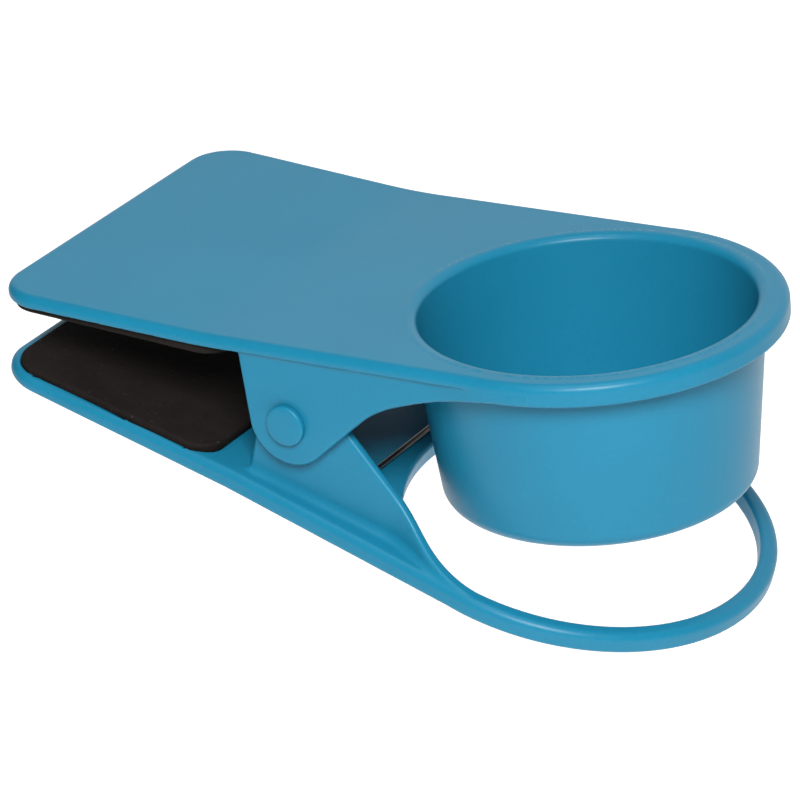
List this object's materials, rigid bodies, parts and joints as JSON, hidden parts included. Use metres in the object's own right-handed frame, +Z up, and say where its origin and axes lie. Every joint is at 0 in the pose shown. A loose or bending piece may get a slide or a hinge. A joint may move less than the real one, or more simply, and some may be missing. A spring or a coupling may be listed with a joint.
{
  "type": "desk clamp cup holder",
  "caption": "Teal plastic spring clamp for a desk edge with foam padded jaws, a cup moulded into the upper jaw and a finger loop on the lower one.",
  "frame": {"origin": "middle of the upper pad's grip face, on the desk top", "axes": "+X from the jaws towards the cup, +Z up the cup's axis, +Y across the jaws along the hinge"},
  "size_m": [0.2072, 0.1106, 0.0876],
  "materials": {
    "teal_plastic": "satin",
    "foam_rubber": "matte",
    "adhesive": "matte",
    "rod_steel": "satin",
    "spring_steel": "satin"
  },
  "bodies": {
    "upper": {"upper_jaw": "teal_plastic", "upper_pad": "foam_rubber", "upper_pad_adhesive": "adhesive", "pivot_pin": "rod_steel", "pin_cap_near": "teal_plastic", "pin_cap_far": "teal_plastic", "torsion_spring": "spring_steel"},
    "lower": {"lower_jaw": "teal_plastic", "lower_pad": "foam_rubber", "lower_pad_adhesive": "adhesive"}
  },
  "joints": [
    {"name": "jaw_hinge", "type": "hinge", "parent": "upper", "child": "lower", "pos_m": [0.05215, 0, -0.0181], "axis": [0, -1, 0], "range_deg": [0, 20], "stiffness_Nm_per_rad": 2, "springref_deg": -28.65, "deforming": ["torsion_spring"]}
  ]
}
